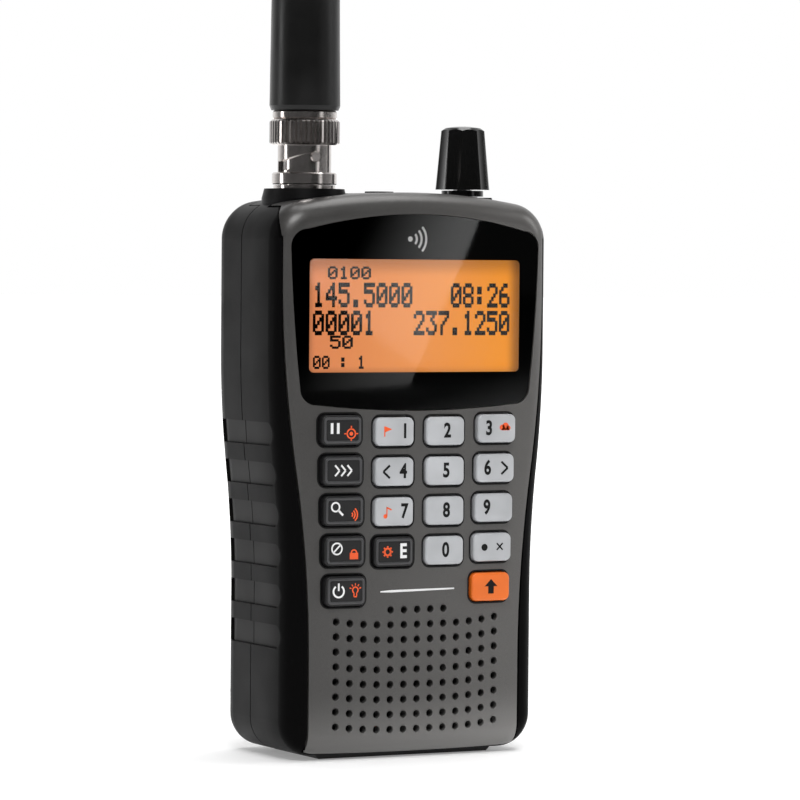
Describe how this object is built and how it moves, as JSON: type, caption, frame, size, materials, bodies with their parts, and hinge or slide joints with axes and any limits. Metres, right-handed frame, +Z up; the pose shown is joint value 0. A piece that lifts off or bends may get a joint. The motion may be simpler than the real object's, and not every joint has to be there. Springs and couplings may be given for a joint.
{
  "type": "handheld radio scanner",
  "caption": "Handheld radio scanner with a backlit display, sprung keypad, loudspeaker grille, volume and squelch controls and a bayonet-mounted rubber antenna.",
  "frame": {"origin": "centre of the flat foot that the scanner stands on", "axes": "+Z up along the antenna, +X to the user's right when facing the display, the display faces -Y"},
  "size_m": [0.0636, 0.0333, 0.284],
  "materials": {
    "bezel_paint": "satin metallic grey paint on plastic",
    "case_black": "soft-touch black plastic",
    "foot_rubber": "matt black",
    "window_gloss": "clear acrylic",
    "mask_black": "printed black border",
    "lcd_glass": "backlit orange",
    "light_guide": "translucent",
    "inner_plastic": "black moulded",
    "silicone": "grey silicone",
    "dome_film": "polyester film",
    "circuit_board": "green solder mask",
    "shield_tin": "tinned",
    "magnet_steel": "zinc plated",
    "cone_paper": "black paper cone",
    "grille_cloth": "fine black mesh",
    "cell_wrap": "plain wrapped cell",
    "spring_steel": "nickel plated wire and strip",
    "nickel": "bright nickel plate",
    "insulator": "white insulator",
    "brass_contact": "plated brass",
    "antenna_rubber": "satin black moulded rubber",
    "knob_gloss": "gloss black",
    "shaft_steel": "turned",
    "screw_steel": "blackened",
    "key_dark": "black moulded key",
    "key_light": "silver-grey moulded key",
    "key_orange": "orange moulded key"
  },
  "bodies": {
    "handset": {"antenna_socket": "nickel", "base_foot": "foot_rubber", "battery_cells": "cell_wrap", "battery_contacts": "spring_steel", "battery_springs": "spring_steel", "board_connector": "inner_plastic", "board_screws": "screw_steel", "case_screws": "screw_steel", "control_board": "circuit_board", "display_window": "window_gloss", "dome_sheet": "dome_film", "front_bezel": "bezel_paint", "front_case": "case_black", "headphone_jack": "inner_plastic", "keypad_membrane": "silicone", "lcd_backlight": "light_guide", "lcd_frame": "inner_plastic", "lcd_panel": "lcd_glass", "rear_case": "case_black", "rf_board": "circuit_board", "rf_shield": "shield_tin", "socket_contact": "brass_contact", "socket_insulator": "insulator", "socket_nut": "nickel", "speaker_basket": "shield_tin", "speaker_cloth": "grille_cloth", "speaker_cone": "cone_paper", "speaker_magnet": "magnet_steel", "usb_socket": "shield_tin", "volume_control": "inner_plastic", "window_mask": "mask_black"},
    "door": {"battery_door": "case_black"},
    "washer": {"plug_washer": "nickel"},
    "sleeve": {"coupling_sleeve": "nickel"},
    "antenna": {"plug_body": "nickel", "plug_pin": "brass_contact", "antenna_sheath": "antenna_rubber", "antenna_core": "brass_contact"},
    "volume": {"volume_knob": "knob_gloss", "volume_shaft": "shaft_steel"},
    "squelch": {"squelch_ring": "knob_gloss", "squelch_sleeve": "shaft_steel"},
    "key_0_body": {"key_0": "key_light"},
    "key_1_body": {"key_1": "key_light"},
    "key_2_body": {"key_2": "key_light"},
    "key_3_body": {"key_3": "key_light"},
    "key_4_body": {"key_4": "key_light"},
    "key_5_body": {"key_5": "key_light"},
    "key_6_body": {"key_6": "key_light"},
    "key_7_body": {"key_7": "key_light"},
    "key_8_body": {"key_8": "key_light"},
    "key_9_body": {"key_9": "key_light"},
    "key_dot_body": {"key_dot": "key_light"},
    "key_enter_body": {"key_enter": "key_dark"},
    "key_function_body": {"key_function": "key_orange"},
    "key_hold_body": {"key_hold": "key_dark"},
    "key_lockout_body": {"key_lockout": "key_dark"},
    "key_power_body": {"key_power": "key_dark"},
    "key_scan_body": {"key_scan": "key_dark"},
    "key_search_body": {"key_search": "key_dark"}
  },
  "joints": [
    {"name": "key_0_press", "type": "slide", "parent": "handset", "child": "key_0_body", "axis": [0, 1, 0], "range_m": [0, 0.0007], "stiffness_N_per_m": 800, "springref_m": -0.0003},
    {"name": "key_1_press", "type": "slide", "parent": "handset", "child": "key_1_body", "axis": [0, 1, 0], "range_m": [0, 0.0007], "stiffness_N_per_m": 800, "springref_m": -0.0003},
    {"name": "key_2_press", "type": "slide", "parent": "handset", "child": "key_2_body", "axis": [0, 1, 0], "range_m": [0, 0.0007], "stiffness_N_per_m": 800, "springref_m": -0.0003},
    {"name": "key_3_press", "type": "slide", "parent": "handset", "child": "key_3_body", "axis": [0, 1, 0], "range_m": [0, 0.0007], "stiffness_N_per_m": 800, "springref_m": -0.0003},
    {"name": "key_4_press", "type": "slide", "parent": "handset", "child": "key_4_body", "axis": [0, 1, 0], "range_m": [0, 0.0007], "stiffness_N_per_m": 800, "springref_m": -0.0003},
    {"name": "key_5_press", "type": "slide", "parent": "handset", "child": "key_5_body", "axis": [0, 1, 0], "range_m": [0, 0.0007], "stiffness_N_per_m": 800, "springref_m": -0.0003},
    {"name": "key_6_press", "type": "slide", "parent": "handset", "child": "key_6_body", "axis": [0, 1, 0], "range_m": [0, 0.0007], "stiffness_N_per_m": 800, "springref_m": -0.0003},
    {"name": "key_7_press", "type": "slide", "parent": "handset", "child": "key_7_body", "axis": [0, 1, 0], "range_m": [0, 0.0007], "stiffness_N_per_m": 800, "springref_m": -0.0003},
    {"name": "key_8_press", "type": "slide", "parent": "handset", "child": "key_8_body", "axis": [0, 1, 0], "range_m": [0, 0.0007], "stiffness_N_per_m": 800, "springref_m": -0.0003},
    {"name": "key_9_press", "type": "slide", "parent": "handset", "child": "key_9_body", "axis": [0, 1, 0], "range_m": [0, 0.0007], "stiffness_N_per_m": 800, "springref_m": -0.0003},
    {"name": "key_dot_press", "type": "slide", "parent": "handset", "child": "key_dot_body", "axis": [0, 1, 0], "range_m": [0, 0.0007], "stiffness_N_per_m": 800, "springref_m": -0.0003},
    {"name": "key_enter_press", "type": "slide", "parent": "handset", "child": "key_enter_body", "axis": [0, 1, 0], "range_m": [0, 0.0007], "stiffness_N_per_m": 800, "springref_m": -0.0003},
    {"name": "key_function_press", "type": "slide", "parent": "handset", "child": "key_function_body", "axis": [0, 1, 0], "range_m": [0, 0.0007], "stiffness_N_per_m": 800, "springref_m": -0.0003},
    {"name": "key_hold_press", "type": "slide", "parent": "handset", "child": "key_hold_body", "axis": [0, 1, 0], "range_m": [0, 0.0007], "stiffness_N_per_m": 800, "springref_m": -0.0003},
    {"name": "key_lockout_press", "type": "slide", "parent": "handset", "child": "key_lockout_body", "axis": [0, 1, 0], "range_m": [0, 0.0007], "stiffness_N_per_m": 800, "springref_m": -0.0003},
    {"name": "key_power_press", "type": "slide", "parent": "handset", "child": "key_power_body", "axis": [0, 1, 0], "range_m": [0, 0.0007], "stiffness_N_per_m": 800, "springref_m": -0.0003},
    {"name": "key_scan_press", "type": "slide", "parent": "handset", "child": "key_scan_body", "axis": [0, 1, 0], "range_m": [0, 0.0007], "stiffness_N_per_m": 800, "springref_m": -0.0003},
    {"name": "key_search_press", "type": "slide", "parent": "handset", "child": "key_search_body", "axis": [0, 1, 0], "range_m": [0, 0.0007], "stiffness_N_per_m": 800, "springref_m": -0.0003},
    {"name": "volume_turn", "type": "hinge", "parent": "handset", "child": "volume", "pos_m": [0.0186, 0, 0.12], "axis": [0, 0, 1], "range_deg": [-270, 0]},
    {"name": "squelch_turn", "type": "hinge", "parent": "handset", "child": "squelch", "pos_m": [0.0186, 0, 0.116], "axis": [0, 0, 1], "range_deg": [-270, 0]},
    {"name": "bayonet_rise", "type": "slide", "parent": "handset", "child": "washer", "axis": [0, 0, 1], "range_m": [0, 0.0022]},
    {"name": "bayonet_turn", "type": "hinge", "parent": "washer", "child": "sleeve", "pos_m": [-0.0186, 0, 0.125], "axis": [0, 0, 1], "range_deg": [0, 90]},
    {"name": "antenna_swivel", "type": "hinge", "parent": "washer", "child": "antenna", "pos_m": [-0.0186, 0, 0.13], "axis": [0, 0, 1], "continuous": true},
    {"name": "door_slide", "type": "slide", "parent": "handset", "child": "door", "axis": [0, 0, -1], "range_m": [0, 0.012]}
  ],
  "couplings": [
    {"joint": "bayonet_turn", "follows": "bayonet_rise", "rad_per_m": 713.9}
  ]
}
